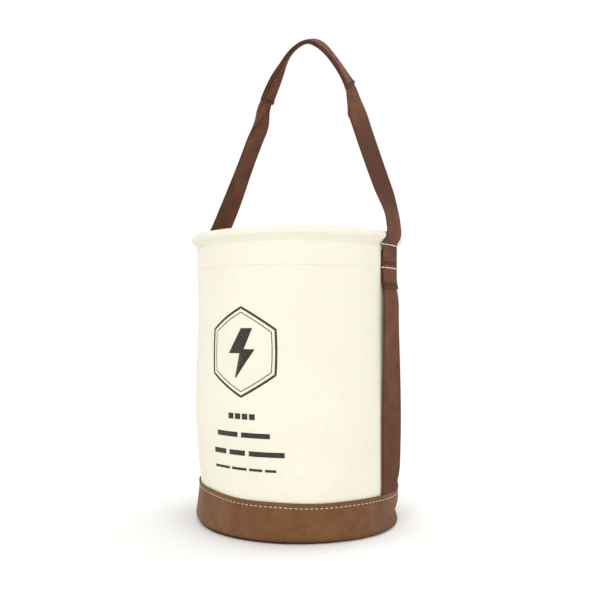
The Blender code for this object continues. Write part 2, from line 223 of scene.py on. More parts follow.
def mesh_piece(name, points, faces, corner_uv, material, body):
    """Makes one smooth piece from points in millimetres, and rides it on a body if one is given."""
    data = bpy.data.meshes.new(name)
    data.from_pydata((np.asarray(points) * MM).tolist(), [], faces)
    layer = data.uv_layers.new(name="UVMap")
    layer.data.foreach_set("uv", (np.asarray(corner_uv) * MM).astype(np.float32).ravel())
    data.shade_smooth()
    data.materials.append(material)
    made = bpy.data.objects.new(name, data)
    bpy.context.scene.collection.objects.link(made)
    if body:
        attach(made, body)
    return made


def grid_faces(rows, columns, wraps, start=0, flip=False):
    """The faces of a grid of points, and each face's place in it as (row, column)."""
    faces, places = [], []
    for i in range(rows - 1):
        for j in range(columns if wraps else columns - 1):
            k = (j + 1) % columns
            face = [i * columns + j, i * columns + k, (i + 1) * columns + k, (i + 1) * columns + j]
            spots = [(i, j), (i, j + 1), (i + 1, j + 1), (i + 1, j)]
            faces.append([start + corner for corner in (face[::-1] if flip else face)])
            places.extend(spots[::-1] if flip else spots)
    return faces, places


def sheet_normals(grid, wraps):
    """Each grid point's direction out of the sheet, and its direction across the sheet."""
    if wraps:
        across = np.roll(grid, -1, axis=1) - np.roll(grid, 1, axis=1)
    else:
        across = np.gradient(grid, axis=1)
    out = np.cross(across, np.gradient(grid, axis=0))
    return tuple(way / np.linalg.norm(way, axis=2, keepdims=True) for way in (out, across))


def sheet_uv(grid, wraps, columns):
    """Each point's u and each row's v, both measured along the flat sheet."""
    if wraps:
        v = np.append(0, np.cumsum(np.linalg.norm(np.diff(grid, axis=0), axis=2).mean(axis=1)))
    else:
        v = lengths_along(grid.mean(axis=1))
    if columns is not None:
        return columns, v
    steps = np.linalg.norm(np.diff(grid, axis=1), axis=2).mean(axis=0)
    if wraps:
        steps = np.append(steps, steps[-1])
    return np.tile(np.append(0, np.cumsum(steps)), (len(grid), 1)), v


def sheet_piece(name, grid, thickness, material, body, wraps=False, columns=None, keep=None):
    """A closed sheet about a grid of points, with its rows along it and rounded edges.

    columns gives each point's place across the flat sheet. keep is the first and last row wanted of
    a longer sheet: an end where it is cut is square, so that the next piece carries straight on.
    """
    out, across = sheet_normals(grid, wraps)
    u, v = sheet_uv(grid, wraps, columns)
    first, last = keep or (0, len(grid) - 1)
    cuts = {0: first > 0, last - first: last < len(grid) - 1}
    grid, out, across, u, v = (part[first:last + 1] for part in (grid, out, across, u, v))
    rows, wide = grid.shape[:2]
    front, back = grid + out * thickness / 2, grid - out * thickness / 2
    border = [(i, j) for i in (0, rows - 1) for j in range(wide)]
    if not wraps:
        border += [(i, j) for i in range(1, rows - 1) for j in (0, wide - 1)]
    edge_index, edge_points = {}, []
    ends = {0: grid[0] - grid[1], rows - 1: grid[-1] - grid[-2]}
    for i, j in border:
        push = np.zeros(3)
        if i in ends and not cuts[i]:
            push = push + ends[i][j] / np.linalg.norm(ends[i][j])
        if not wraps and j in (0, wide - 1):
            push = push + across[i, j] * (-1 if j == 0 else 1)
        edge_index[(i, j)] = 2 * rows * wide + len(edge_points)
        edge_points.append(grid[i, j] + push / max(np.linalg.norm(push), 1e-9) * thickness * 0.4)
    points = np.vstack([front.reshape(-1, 3), back.reshape(-1, 3), edge_points])
    faces, places = grid_faces(rows, wide, wraps)
    more, more_places = grid_faces(rows, wide, wraps, rows * wide, flip=True)
    faces, places = faces + more, places + more_places
    reach = wide + 1 if wraps else wide
    loops = [([(i, j) for j in range(reach)], turn) for i, turn in ((0, 1), (rows - 1, -1))]
    if not wraps:
        loops += [([(i, j) for i in range(rows)], turn) for j, turn in ((0, -1), (wide - 1, 1))]
    for loop, turn in loops:
        for one, two in zip(loop, loop[1:]):
            a, b = ((i, j % wide) for i, j in (one, two))
            flat_a, flat_b = a[0] * wide + a[1], b[0] * wide + b[1]
            for shift, way in ((0, turn), (rows * wide, -turn)):
                face = [flat_a + shift, edge_index[a], edge_index[b], flat_b + shift]
                spots = [one, one, two, two]
                faces.append(face if way > 0 else face[::-1])
                places.extend(spots if way > 0 else spots[::-1])
    uv = [(u[i, j], v[i]) for i, j in places]
    made = mesh_piece(name, points, faces, uv, material, body)
    if keep:
        made.data.set_sharp_from_angle(angle=SQUARE_END)
    return made


def stitch_piece(name, places, length, width, material, node=None, body="bucket", sink=0.25):
    """A row of separate stitches, which replaces a CAD node if one is given.

    Each place is (middle, way along the row, way out).
    """
    rings, sides = 7, 8
    t = np.linspace(-1, 1, rings)
    girth = width / 2 * np.sqrt(1 - 0.9 * t**4)
    lift = width * (0.5 - sink) - width * 0.75 * t**4
    turn = around(sides)
    template = np.stack([
        np.repeat(t * length / 2, sides),
        np.outer(girth, np.cos(turn)).ravel(),
        (np.outer(girth, np.sin(turn)) * 0.85 + lift[:, None]).ravel(),
    ], axis=1)
    faces_one, spots_one = grid_faces(rings, sides, True)
    faces_one += [list(range(sides))[::-1], list(range((rings - 1) * sides, rings * sides))]
    spots_one += [(0, 0)] * sides + [(rings - 1, 0)] * sides
    points, faces, uv = [], [], []
    for number, (centre, along, out) in enumerate(places):
        along = along / np.linalg.norm(along)
        side = np.cross(out, along)
        side /= np.linalg.norm(side)
        points.append(centre + template @ np.stack([along, side, np.cross(along, side)]))
        base = number * rings * sides
        faces += [[base + corner for corner in face] for face in faces_one]
        uv += [(j * 0.4, number * THREAD_PITCH + i * length / rings) for i, j in spots_one]
    made = mesh_piece(name, np.vstack(points), faces, uv, material, body)
    if node:
        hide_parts(node)


# Materials

def linear(red, green, blue):
    """An sRGB colour from 0 to 255, as the linear colour that a shader takes."""
    scaled = (value / 255 for value in (red, green, blue))
    return tuple(c / 12.92 if c < 0.04045 else ((c + 0.055) / 1.055) ** 2.4 for c in scaled) + (1,)


class Graph:
    """A material's nodes, with short names for the few kinds used here."""

    def __init__(self, name, roughness, sheen=0.0, sheen_roughness=0.5, specular=0.25):
        self.material = bpy.data.materials.new(name)
        self.material.use_nodes = True
        self.tree = self.material.node_tree
        self.shader = self.tree.nodes["Principled BSDF"]
        inputs = (("Roughness", roughness), ("Sheen Weight", sheen),
                  ("Sheen Roughness", sheen_roughness), ("Specular IOR Level", specular))
        for socket, value in inputs:
            self.shader.inputs[socket].default_value = value

    def add(self, kind, inputs=(), **settings):
        node = self.tree.nodes.new("ShaderNode" + kind)
        for key, value in settings.items():
            setattr(node, key, value)
        for socket, value in inputs:
            if isinstance(value, bpy.types.NodeSocket):
                self.tree.links.new(value, node.inputs[socket])
            else:
                node.inputs[socket].default_value = value
        return node

    def math(self, operation, a, b=0.0):
        return self.add("Math", [(0, a), (1, b)], operation=operation).outputs[0]

    def plus(self, a, b):
        return self.math("ADD", a, b)

    def times(self, a, b):
        return self.math("MULTIPLY", a, b)

    def uv(self):
        return self.add("UVMap", uv_map="UVMap").outputs[0]

    def place(self):
        return self.add("TexCoord").outputs["Object"]

    def parts(self, vector):
        node = self.add("SeparateXYZ", [(0, vector)])
        return node.outputs[0], node.outputs[1], node.outputs[2]

    def noise(self, vector, scale, detail=2.0, roughness=0.5):
        """Noise from 0 to 1. scale is a number, or one for each axis."""
        if isinstance(scale, tuple):
            vector = self.add("Mapping", [("Vector", vector), ("Scale", scale)]).outputs[0]
            scale = 1.0
        inputs = [("Vector", vector), ("Scale", scale), ("Detail", detail), ("Roughness", roughness)]
        return self.add("TexNoise", inputs).outputs["Fac"]

    def step(self, value, low, high, to_low=0.0, to_high=1.0):
        """to_low below low, to_high above high, and smooth in between."""
        inputs = [("Value", value), ("From Min", low), ("From Max", high),
                  ("To Min", to_low), ("To Max", to_high)]
        return self.add("MapRange", inputs, interpolation_type="SMOOTHSTEP").outputs["Result"]

    def mix(self, share, a, b):
        return self.add("Mix", [(0, share), (6, a), (7, b)], data_type="RGBA").outputs[2]

    def wave(self, value, pitch):
        """A sine from -1 to 1 with the given pitch, in the value's own unit."""
        return self.math("SINE", self.times(value, TAU / pitch))

    def finish(self, colour, height=None, depth=0.0002, roughness=None):
        self.tree.links.new(colour, self.shader.inputs["Base Color"])
        if height is not None:
            bump = self.add("Bump", [("Height", height), ("Distance", depth), ("Strength", 1.0)])
            self.tree.links.new(bump.outputs[0], self.shader.inputs["Normal"])
        if roughness is not None:
            self.tree.links.new(roughness, self.shader.inputs["Roughness"])
        return self.material


def cloth_material(name, light, shade, ink=None):
    """Cotton duck: plain weave, uneven yarns, a soft cast of colour and a few dark flecks."""
    graph = Graph(name, roughness=0.9, sheen=0.15)
    uv = graph.uv()
    u, v, _ = graph.parts(uv)
    weave = graph.times(graph.wave(u, 0.0018), graph.wave(v, 0.0018))
    warp = graph.noise(uv, (900, 30, 1))
    weft = graph.noise(uv, (30, 900, 1))
    yarns = graph.times(graph.plus(warp, weft), 0.5)
    cast = graph.step(graph.noise(uv, 14.0, 3.0), 0.35, 0.75, 0.0, 0.6)
    colour = graph.mix(cast, light, shade)
    darker = tuple(0.9 * value for value in shade[:3]) + (1,)
    colour = graph.mix(graph.step(yarns, 0.42, 0.6, 0.0, 0.3), colour, darker)
    flecks = graph.step(graph.noise(uv, 420.0, 1.0), 0.76, 0.8, 0.0, 0.35)
    colour = graph.mix(flecks, colour, linear(150, 128, 92))
    if ink:
        worn = graph.step(graph.noise(uv, 700.0, 3.0, 0.7), 0.58, 0.75, 0.0, 0.55)
        colour = graph.mix(worn, ink, colour)
    height = graph.plus(weave, graph.times(yarns, 1.6))
    rough = graph.step(yarns, 0.3, 0.7, 0.84, 0.96)
    return graph.finish(colour, height, 0.00011, rough)


def web_material(name, dark, light, edge):
    """Herringbone cotton webbing, with darker edges and lighter worn ribs.

    It is darker towards the foot of the bucket, and carries painted shade along the right leg.
    """
    graph = Graph(name, roughness=0.66, specular=0.1)
    uv = graph.uv()
    u, v, _ = graph.parts(uv)
    stripe = graph.math("PINGPONG", u, 0.0064)
    ribs = graph.wave(graph.plus(v, stripe), 0.0021)
    height = graph.plus(ribs, graph.times(graph.wave(u, 0.0011), 0.6))
    streaks = graph.noise(uv, (600, 90, 1), 3.0, 0.6)
    patches = graph.noise(uv, 30.0, 2.0)
    share = graph.plus(graph.plus(graph.times(ribs, 0.16), streaks), graph.times(patches, 0.7))
    colour = graph.mix(graph.step(share, 0.5, 1.2), dark, light)
    half = WEB_WIDTH * MM / 2
    from_middle = graph.math("ABSOLUTE", graph.plus(u, -half))
    # darker along both edges of the web
    darker_edges = graph.step(from_middle, half - 0.0032, half - 0.001, 0.0, 0.45)
    colour = graph.mix(darker_edges, colour, edge)
    x, _, above = graph.parts(graph.place())
    from_leg = graph.math("ABSOLUTE", graph.plus(above, -0.53))
    # painted shade along the right leg, on the right side at about the leg's height
    leg_shade = graph.times(graph.step(from_leg, 0.03, 0.1, 0.85, 0.0), graph.step(x, 0.0, 0.02))
    # darker towards the foot, plus the painted shade on the right leg
    darker_foot_and_leg_shade = graph.plus(graph.step(above, 0.1, 0.3, 0.4, 0.0), leg_shade)
    colour = graph.mix(darker_foot_and_leg_shade, colour, dark)
    rough = graph.step(streaks, 0.3, 0.7, 0.56, 0.74)
    return graph.finish(colour, height, 0.00016, rough)


def suede_material():
    """Brown suede: a short nap, mottled where it was brushed and handled, with painted shade low down
    along its bottom edge.
    """
    graph = Graph("suede", roughness=0.95, sheen=0.1, sheen_roughness=0.6, specular=0.1)
    place = graph.place()
    mottle = graph.noise(place, 28.0, 4.0, 0.6)
    brushed = graph.noise(place, (90, 90, 160), 3.0, 0.65)
    nap = graph.noise(place, 1500.0, 3.0, 0.7)
    share = graph.plus(graph.times(mottle, 0.65), graph.times(brushed, 0.35))
    colour = graph.mix(graph.step(share, 0.34, 0.66), linear(105, 70, 43), linear(126, 87, 56))
    colour = graph.mix(graph.step(nap, 0.35, 0.65, 0.0, 0.3), colour, linear(96, 62, 36))
    _, _, height = graph.parts(place)
    # painted shade: the suede turns darker in its lowest few millimetres, where it curls under to the
    # floor
    low = graph.step(height, 0.001, 0.009, 0.75, 0.0)
    colour = graph.mix(low, colour, linear(70, 44, 28))
    pores = graph.noise(place, 420.0, 2.0)
    return graph.finish(colour, graph.plus(nap, graph.times(pores, 0.8)), 0.0003)


def thread_material(name, light, dark):
    """Plied thread, its plies as slanting ridges, with painted shade in the grooves between them."""
    graph = Graph(name, roughness=0.6, sheen=0.2)
    uv = graph.uv()
    u, v, _ = graph.parts(uv)
    plies = graph.wave(graph.plus(v, u), 0.0011)
    # painted shade: the thread is darker in the grooves between its plies
    colour = graph.mix(graph.step(plies, -0.9, 0.4), dark, light)
    fuzz = graph.noise(graph.place(), 900.0)
    colour = graph.mix(graph.step(fuzz, 0.45, 0.75, 0.0, 0.4), colour, dark)
    return graph.finish(colour, plies, 0.0001)


def plastic_material():
    """Extruded black plastic, a little scuffed."""
    graph = Graph("hoop_plastic", roughness=0.45)
    place = graph.place()
    scuffs = graph.noise(place, (60, 60, 900), 3.0)
    colour = graph.mix(graph.step(scuffs, 0.4, 0.7), linear(38, 38, 40), linear(58, 57, 58))
    return graph.finish(colour, scuffs, 0.00005, graph.step(scuffs, 0.3, 0.7, 0.35, 0.6))


def board_material():
    """Pressed fibre board."""
    graph = Graph("fibre_board", roughness=0.85)
    place = graph.place()
    fibres = graph.noise(place, (500, 120, 500), 4.0, 0.7)
    colour = graph.mix(graph.step(fibres, 0.35, 0.65), linear(128, 104, 76), linear(164, 138, 106))
    return graph.finish(colour, fibres, 0.0002)


def floor_material():
    """The pale studio floor, which turns into the white surround away from the bucket."""
    graph = Graph("studio_floor", roughness=0.9)
    place = graph.place()
    grain = graph.noise(place, 90.0, 3.0)
    colour = graph.mix(grain, linear(246, 246, 245), linear(250, 250, 249))
    graph.finish(colour)
    x, y, _ = graph.parts(place)
    away = graph.math("SQRT", graph.plus(graph.times(x, x), graph.times(y, y)))
    glow = graph.add("Emission", [("Color", (1, 1, 1, 1)), ("Strength", 1.0)]).outputs[0]
    share = graph.step(away, 0.35, 1.1)
    join = graph.add("MixShader", [(0, share), (1, graph.shader.outputs[0]), (2, glow)])
    output = graph.tree.nodes["Material Output"]
    graph.tree.links.new(join.outputs[0], output.inputs["Surface"])
    return graph.material


CANVAS_LIGHT, CANVAS_SHADE = linear(237, 233, 215), linear(231, 227, 207)
canvas = cloth_material("canvas_duck", CANVAS_LIGHT, CANVAS_SHADE)
ink = cloth_material("printed_ink", CANVAS_LIGHT, CANVAS_SHADE, ink=linear(52, 50, 42))
binding_cloth = cloth_material("binding_tape", linear(226, 218, 194), linear(212, 203, 178))
webbing = web_material("webbing", linear(83, 49, 31), linear(130, 85, 63), linear(56, 34, 26))
suede = suede_material()
white_thread = thread_material("white_thread", linear(250, 247, 230), linear(226, 220, 196))
cream_thread = thread_material("cream_thread", linear(236, 224, 200), linear(196, 178, 148))
dark_thread = thread_material("dark_thread", linear(48, 29, 22), linear(28, 18, 14))


# The wall

def wall_bulge(angle, height):
    """How far the soft wall stands off a true cylinder: it is slackest at the front left."""
    slack = 0.9 * ripple(angle, height, 3) + 0.35 * ripple(angle, height, 8, (9, 13, 17), 60.0)
    left = hill_at(angle, -140, 28)
    slack = slack + left * (2.6 * hill(height, 185, 62) - 1.6 * hill(height, 310, 40))
    slack = slack - 5 * hill_at(angle, -140, 30) * hill(height, 60, 36)
    return slack * ease(height, 4, 24) * (1 - ease(height, 380, 412)) + foot_waist(angle, height)


def foot_waist(angle, height):
    """The hollow above the foot on the right, where the wall and its leather sag on to the floor."""
    return -6.5 * hill_at(angle, 20, 28) * hill(height, 15.5, 9)


def stitch_count(radius):
    return round(TAU * radius / THREAD_PITCH)


def pucker(angle, height, row_height, depth):
    """How far a row of stitches pulls the cloth in, most at the ends of each stitch."""
    dents = 0.75 - 0.25 * np.cos(stitch_count(WALL_OUTER) * angle)
    return depth * hill(height, row_height, 1.9) * dents


def wall_profile():
    """(radius, height) from the wall's foot, over the rolled lip, to the end of the hem inside."""
    heights = np.concatenate([
        np.linspace(WALL_FOOT, HEM_END - 6, 90), np.arange(HEM_END - 4, NECK_START, 1.0)
    ])
    wall = [(WALL, height) for height in heights]
    neck = smooth_curve([
        (WALL, NECK_START), (WALL - 0.1, NECK_START + 5), (WALL - 0.45, NECK_HEIGHT - 0.5),
        (WALL + 2.6, NECK_HEIGHT + 4.2), (LIP_RADIUS + LIP * 0.72, LIP_HEIGHT - LIP * 0.69),
    ], 1.0)[:-1]
    turns = np.radians(np.linspace(-44, 180, 22))
    lip = [(LIP_RADIUS + LIP * math.cos(a), LIP_HEIGHT + LIP * math.sin(a)) for a in turns]
    inside = smooth_curve([
        (LIP_RADIUS - LIP, LIP_HEIGHT), (FACING - 0.1, LIP_HEIGHT - 6), (FACING, NECK_HEIGHT - 4),
        (FACING, HEM_END),
    ], 1.6)[1:]
    return np.array([*wall, *neck, *lip, *inside])


def canvas_wall():
    profile = wall_profile()
    angles = around(480)
    radius, height = profile[:, :1], profile[:, 1:]
    inside = (np.arange(len(profile)) > np.argmax(profile[:, 1]))[:, None]
    shift = wall_bulge(angles, height) + 0.35 * ease(height, HEM_END, HEM_END + 2) * ~inside
    shift = shift - pucker(angles, height, RIM_STITCH, 0.35) - pucker(angles, height, HEM_STITCH, 0.4)
    crimp = 0.35 * ripple(angles, height, 12, (11, 17, 23), 30.0) * hill(height, LIP_HEIGHT, 9)
    grid = polar(radius + shift + crimp, angles, height + 0.6 * crimp)
    made = sheet_piece("canvas_wall_cloth", grid, CANVAS, canvas, "bucket", wraps=True)
    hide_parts("canvas_wall")


def ring_places(spacing_radius, radius, height, out=1):
    """Places for a row of stitches, as many as go round a circle of the first radius.

    radius and height are functions of the angle. out is -1 where the stitches face the middle.
    """
    count = stitch_count(spacing_radius)
    places = []
    for i in range(count):
        angle = (i + 0.5) * TAU / count
        before, spot, after = (
            np.array([radius(a) * math.cos(a), radius(a) * math.sin(a), height(a)])
            for a in (angle - 0.004, angle, angle + 0.004)
        )
        places.append((spot, after - before, out * outward(angle)))
    return places


def upright_places(angles, heights, radius):
    """Places for rows of stitches up the wall, with radius a function of angle and height."""
    up = np.array([0, 0, 1.0])
    places = []
    for angle in angles:
        for height in heights:
            reach = radius(angle, height)
            places.append((reach * outward(angle) + height * up, up, outward(angle)))
    return places


def facing(places, z):
    """The same places with their stitches facing up, where z is 1, or down, where it is -1."""
    return [(spot, along, np.array([0, 0, z])) for spot, along, _ in places]


def over_webs(angle, spread=0.012):
    """1 on the side webs, falling to 0 within a spread of radians past their edges."""
    gaps = [abs((angle - web + math.pi) % TAU - math.pi) for web in WEB_ANGLES.values()]
    edge = WEB_WIDTH / 2 / WALL_OUTER
    return 1 - ease(np.minimum(*gaps), edge - 0.004, edge + spread)


def wall_stitches():
    """The two rows round the wall. They pass over the webs, where their stitches are fuller."""
    rows = (  # each row's height, how far the cloth's neck is in there, and its rise over the webs
        ("rim", RIM_STITCH, 0.75, 4.5),
        ("hem", HEM_STITCH, 0.0, 3.4),
    )
    for name, height, sunk, lift in rows:
        places = ring_places(
            WALL_OUTER, lambda a: WALL_OUTER - sunk + wall_bulge(a, height) + lift * over_webs(a),
            lambda a: height + 0.4 * math.sin(3 * a),
        )
        on_cloth, on_webs = [], []
        for place in places:
            x, y, _ = place[0]
            (on_webs if over_webs(math.atan2(y, x)) > 0.5 else on_cloth).append(place)
        stitch_piece(f"{name}_stitches", on_cloth, 5.9, 1.1, white_thread, f"{name}_stitch")
        stitch_piece(f"{name}_web_stitches", on_webs, 6.3, 1.6, white_thread)
        inner = ring_places(WALL_OUTER, lambda a: FACING - CANVAS / 2, lambda a: height, -1)
        stitch_piece(f"{name}_inside_stitches", inner, 5.6, 1.0, white_thread)


def seam_stitches():
    """The wall's lapped seam, behind the left web."""
    angles = [math.pi + side / WALL_OUTER for side in (-3.5, 3.5)]
    heights = np.arange(*span("wall_seam_stitch"), THREAD_PITCH)
    places = upright_places(angles, heights, lambda a, z: WALL_OUTER + wall_bulge(a, z))
    stitch_piece("seam_stitches", places, 5.6, 1.0, white_thread, "wall_seam_stitch")


# The base

def band_top(angle):
    """The height of the leather's cut edge, which isn't quite level."""
    dips = 5 * hill_at(angle, 15, 20) + 1.2 * hill_at(angle, -30, 18) + 1
    return BAND_TOP + 6 * hill_at(angle, -125, 35) - dips + 0.5 * np.sin(9 * angle)


def band_bulge(angle, height):
    """How far the leather stands off its true shape: over the webs' feet, and where it sags."""
    swell = (WEB + CONTACT) * over_webs(angle, 0.09) * ease(height, 5, 14)
    sag = 6.8 * hill_at(angle, -4, 38) * hill(height, 1.0, 4.0)
    soft = 0.5 * ripple(angle, height, 21, (4, 7, 11, 15), 25.0) * ease(height, 3, 12)
    return wall_bulge(angle, height) + swell + sag + soft


def leather_band():
    """The suede round the foot of the wall, turned under along a rounded corner."""
    angles = around(600)
    flange = [(r, BAND_FOOT) for r in np.linspace(BAND_FLANGE, BAND - BAND_CORNER, 6)[:-1]]
    turns = np.radians(np.linspace(-90, 0, 12))
    corner = [(BAND - BAND_CORNER * (1 - math.cos(a)), BAND_FOOT + BAND_CORNER * (1 + math.sin(a)))
              for a in turns]
    rise = np.linspace(0, 1, 34)[1:, None]
    low = np.array(flange + corner)
    corner_top = BAND_FOOT + BAND_CORNER
    heights = np.vstack([
        low[:, 1:] + 0 * angles, corner_top + rise * (band_top(angles) - corner_top)
    ])
    radii = np.vstack([low[:, :1] + 0 * angles, BAND + 0 * rise * angles])
    from_edge = band_top(angles) - heights
    groove = 0.55 * hill(from_edge, 6, 1.5)
    curl = 0.5 * hill(from_edge, 0, 4)
    on_corner = (np.arange(len(heights)) >= len(flange))[:, None]
    square = 0.85 * hill_at(angles, -4, 40) * (BAND - radii)  # the sagging corner is squarer
    radii = radii + (band_bulge(angles, heights) + square) * on_corner - groove + curl
    grid = polar(radii, angles, heights)
    made = sheet_piece("leather_band_suede", grid, LEATHER, suede, "bucket", wraps=True)
    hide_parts("leather_band")
    surface = BAND + LEATHER / 2 - 0.5
    places = ring_places(
        BAND, lambda a: surface + band_bulge(a, band_top(a) - 6), lambda a: band_top(a) - 6
    )
    stitch_piece("band_stitches", places, 5.2, 1.15, cream_thread, "band_stitch")


def band_joint():
    """The leather's lapped end at the back, with its own row of stitches."""
    angle = math.pi / 2
    heights = np.linspace(BAND_FOOT + BAND_CORNER * 0.6, BAND_TOP - 0.5, 20)[:, None]
    turns = angle + np.linspace(-9, 9, 10) / BAND
    from_floor = np.maximum(0, 1 - (heights - BAND_FOOT) / BAND_CORNER)
    inset = BAND_CORNER * (1 - np.sqrt(1 - from_floor**2))
    radius = BAND - inset + LEATHER * 0.5 + 0.9 + band_bulge(turns, heights)
    made = sheet_piece("leather_band_lap", polar(radius, turns, heights), 1.6, suede, "bucket")
    surface = BAND + LEATHER * 0.5 + 1.7
    places = upright_places(
        [angle - side / BAND for side in (-5.5, 5.5)],
        np.arange(BAND_FOOT + BAND_CORNER, BAND_TOP - 5, 6.0), lambda a, z: surface + band_bulge(a, z),
    )
    stitch_piece("band_joint_stitches", places, 4.8, 1.1, cream_thread, "band_joint_stitch")


def disc(name, node, radius, height, thickness, material, relief):
    """A round sheet lying flat, with relief(radius, angle) added to its height."""
    radii = np.append(np.linspace(6, radius - 12, 26), np.linspace(radius - 11, radius, 12))[:, None]
    angles = around(240)
    grid = polar(radii, angles, height + relief(radii, angles))
    made = sheet_piece(name, grid, thickness, material, "bucket", wraps=True)
    hub_faces(made)
    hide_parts(node)


def hub_faces(made):
    """Closes the small hole that a disc's rings leave at its centre, on both faces."""
    data = made.data
    mesh = bmesh.new()
    mesh.from_mesh(data)
    inner = sorted(mesh.verts, key=lambda vert: vert.co.xy.length)
    reach = inner[0].co.xy.length
    mesh.verts.ensure_lookup_table()
    edge = [vert for vert in mesh.verts if vert.co.xy.length < reach + 0.0001]
    bmesh.ops.delete(mesh, geom=edge, context="VERTS")
    holes = [e for e in mesh.edges if e.is_boundary]
    bmesh.ops.holes_fill(mesh, edges=holes)
    mesh.to_mesh(data)
    mesh.free()
    data.shade_smooth()


def base_and_floor():
    def base_relief(radius, _):
        return 0.25 * hill(radius, BASE_GROOVE, 1.6)

    def floor_relief(radius, angle):
        soft = 0.5 * np.sin(3 * angle + 0.5) * np.sin(radius / 45)
        soft = soft + 0.4 * np.sin(5 * angle + radius / 30)
        return soft * (1 - ease(radius, 105, 135)) - 0.1

    disc("leather_base_disc", "leather_base", BASE_RADIUS, LEATHER / 2, LEATHER, suede, base_relief)
    disc("canvas_floor_cloth", "canvas_floor", FLOOR_RADIUS, FLOOR_TOP - CANVAS / 2 + 0.6, CANVAS,
         canvas, floor_relief)


def base_stitches():
    places = facing(ring_places(BASE_GROOVE, lambda a: BASE_GROOVE, lambda a: 0.55), -1.0)
    stitch_piece("base_stitches", places, 5.4, 1.0, cream_thread, "base_stitch", sink=0.5)


def floor_binding():
    """The tape sewn over the corner between the wall and the floor, inside."""
    outer = WALL - CANVAS / 2 - 0.3 - TAPE / 2
    bottom = FLOOR_TOP + 0.9 + TAPE / 2
    bend = 3.0
    profile = resampled(smooth_curve([
        (outer, bottom + BINDING_RISE), (outer, bottom + bend + 3), (outer - 0.9, bottom + 0.9),
        (outer - bend - 3, bottom), (outer - BINDING_RISE, bottom),
    ], 0.8), 0.9)
    angles = around(360)
    waves = 0.25 * ripple(angles, profile[:, 1:] * 8, 33, (7, 12, 19), 60.0)
    radius = profile[:, :1] - np.abs(waves) + foot_waist(angles, profile[:, 1:])
    grid = polar(radius, angles, profile[:, 1:] + np.abs(waves))
    made = sheet_piece("floor_binding_tape", grid, TAPE, binding_cloth, "bucket", wraps=True)
    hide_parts("floor_binding")
    near, rise = TAPE / 2 + 0.1, BINDING_RISE - 3
    upper = ring_places(outer, lambda a: outer - near, lambda a: bottom + rise, -1)
    lower = ring_places(outer, lambda a: outer - rise, lambda a: bottom + near)
    stitch_piece("binding_stitches", upper + facing(lower, 1.0), 5.4, 1.0, white_thread)


# The webs

def leaned(run, roll, side=1):
    """The ways across and out of a web at its stations, which run in the XZ plane.

    roll is each station's lean in radians: positive lifts the back edge outward. side is 1 where
    outward is to the right of a web that runs up, and -1 where it is to the left.
    """
    run = run / np.linalg.norm(run, axis=1, keepdims=True)
    out = side * np.stack([run[:, 2], 0 * run[:, 0], -run[:, 0]], axis=1)
    across = np.array([0.0, 1.0, 0.0])
    c, s = np.cos(roll)[:, None], np.sin(roll)[:, None]
    return across * c + out * s, out * c - across * s


def swept(path, section, roll):
    """A web's grid along a path in the XZ plane, from each station's (across, out) points."""
    centre = np.stack([path[:, 0], 0 * path[:, 0], path[:, 1]], axis=1)
    across, out = leaned(np.gradient(centre, axis=0), roll, np.sign(path[0, 0]))
    return centre[:, None] + section[..., :1] * across[:, None] + section[..., 1:] * out[:, None]


def turned(grid, angle):
    """The grid turned about the bucket's upright axis, each row by its own angle."""
    c, s = np.cos(angle)[:, None], np.sin(angle)[:, None]
    x, y, z = np.moveaxis(grid, -1, 0)
    return np.stack([x * c - y * s, x * s + y * c, z], axis=-1)


def web_section(fold, hug, soft=0.0):
    """Each station's (across, out) points, and their places across the flat web.

    fold is 0 where the web is flat and 1 where its front half is folded under its back half. hug is
    1 where the web follows the wall's curve. soft is the height of its slow waves.
    """
    half = WEB_WIDTH / 2
    even = np.linspace(-half, half, 26)
    sections, columns = [], []
    for row, (share, curve) in enumerate(zip(fold, hug)):
        bend = FOLD_BEND + 1.2 * (1 - share)
        lift = math.radians(72) * share * (1 - share)
        turn = math.pi - lift
        crease = -half + (half + FOLD_BEND * math.pi / 2) * share
        flap = max(crease - turn * bend, -half + 0.5)
        near_fold = np.concatenate([
            np.linspace(-half, flap, 7), np.linspace(flap, crease, 7)[1:],
            np.linspace(crease, half, 14)[1:],
        ])
        place = even + (near_fold - even) * ease(share, 0.1, 0.35)
        beyond = crease - place
        arc = np.clip(beyond / bend, 0, turn)
        straight = np.maximum(beyond - turn * bend, 0)
        across = np.where(beyond > 0, crease - bend * np.sin(arc) + straight * math.cos(lift), place)
        out = -bend * (1 - np.cos(arc)) - straight * math.sin(lift)
        out = out + bend * share - across**2 / (2 * WALL_OUTER) * curve
        out = out + soft * np.sin(across / 14 + 1.3) * np.sin(row / 9 + 0.4)
        sections.append(np.stack([across - 0.51 * half * ease(share, 0.1, 1), out], axis=1))
        columns.append(place + half)
    return np.array(sections), np.array(columns)


def side_webs():
    """The web down each side, from under the leather to the rim, slack in its middle."""
    for side, hand, turn in ((1, "right", RIGHT_WEB_TURN), (-1, "left", 0)):
        line = resampled(smooth_curve(SIDE_WEB_LINE), 4.0)
        height = line[:, 1]
        free = ease(height, 46, 90) * (1 - ease(height, 320, 358))
        section, columns = web_section(0 * height, 1 - 0.75 * free, 0.35)
        roll = math.radians(9) * hill(height, 150, 110) * free
        grid = turned(swept(line * [side, 1], section, roll), np.full(len(line), turn))
        x, y, z = np.moveaxis(grid, -1, 0)
        angle = np.arctan2(y, x)
        grid = polar(np.hypot(x, y) + foot_waist(angle, z), angle, z)
        if side < 0:
            grid, columns = grid[:, ::-1], columns[:, ::-1]
        made = sheet_piece(f"{hand}_side_webbing", grid, WEB, webbing, "bucket", columns=columns)
        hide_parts(f"{hand}_side_web")


def leg_roll(hand, height):
    """How far the leg's web leans, in radians: its back edge is outward where this is positive."""
    if hand == "right":
        return math.radians(8) * ease(height, 450, 500)
    return np.radians(2 * ease(height, 440, 465) + 7 * ease(height, 470, 570))


def grip_line():
    """The grip's centre line from the right fold to the left one."""
    return smooth_curve([RIGHT_LEG[-2], RIGHT_LEG[-1], *GRIP, LEFT_LEG[-1], LEFT_LEG[-2]])


